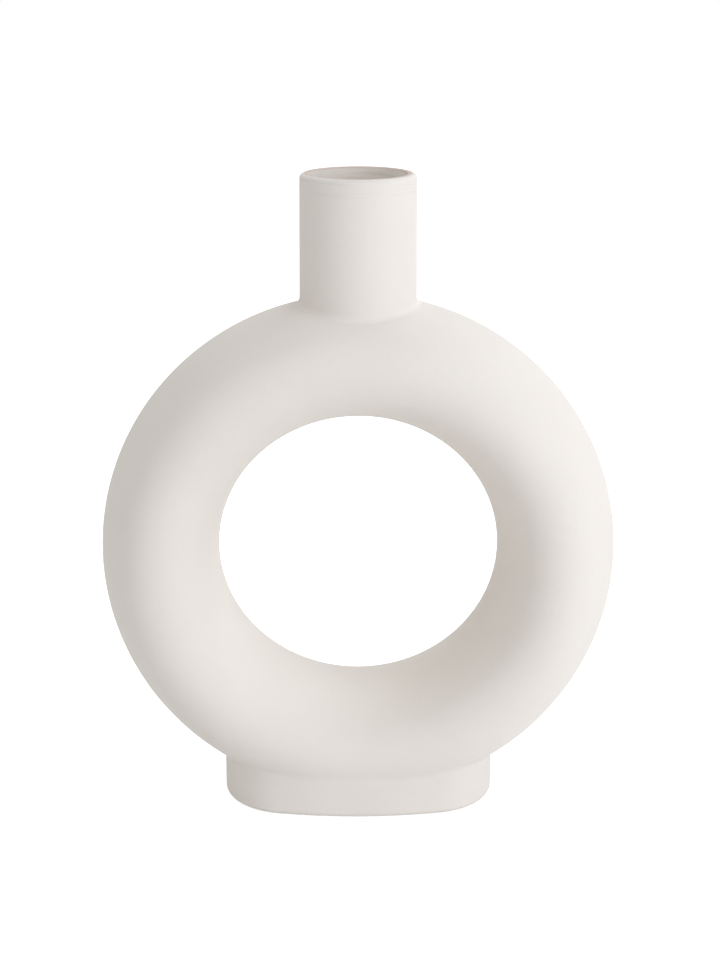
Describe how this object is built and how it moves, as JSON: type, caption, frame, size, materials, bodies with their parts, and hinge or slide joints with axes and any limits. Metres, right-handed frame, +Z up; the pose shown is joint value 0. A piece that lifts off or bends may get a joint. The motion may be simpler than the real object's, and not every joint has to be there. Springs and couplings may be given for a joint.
{
  "type": "donut vase",
  "caption": "Upright hollow ring vase in matte off-white stoneware, with a straight open neck on top and a low oval foot; holds water and stems",
  "frame": {"origin": "middle of the foot's footprint, on the surface that the vase stands on", "axes": "+Z up, front of the ring faces -Y, +X to the right seen from the front; the ring's own axis is Y"},
  "size_m": [0.2352, 0.084, 0.29],
  "materials": {
    "stoneware": "matte, fine-grained, warm off-white",
    "bare_clay": "dry, unwashed bisque",
    "liner_glaze": "clear satin liner glaze"
  },
  "bodies": {
    "root": {"front_shell": "stoneware", "back_shell": "stoneware", "neck": "stoneware", "neck_coil": "stoneware", "foot_wall": "stoneware", "foot_coil": "stoneware", "base_slab": "bare_clay", "chamber_glaze": "liner_glaze"}
  },
  "joints": []
}
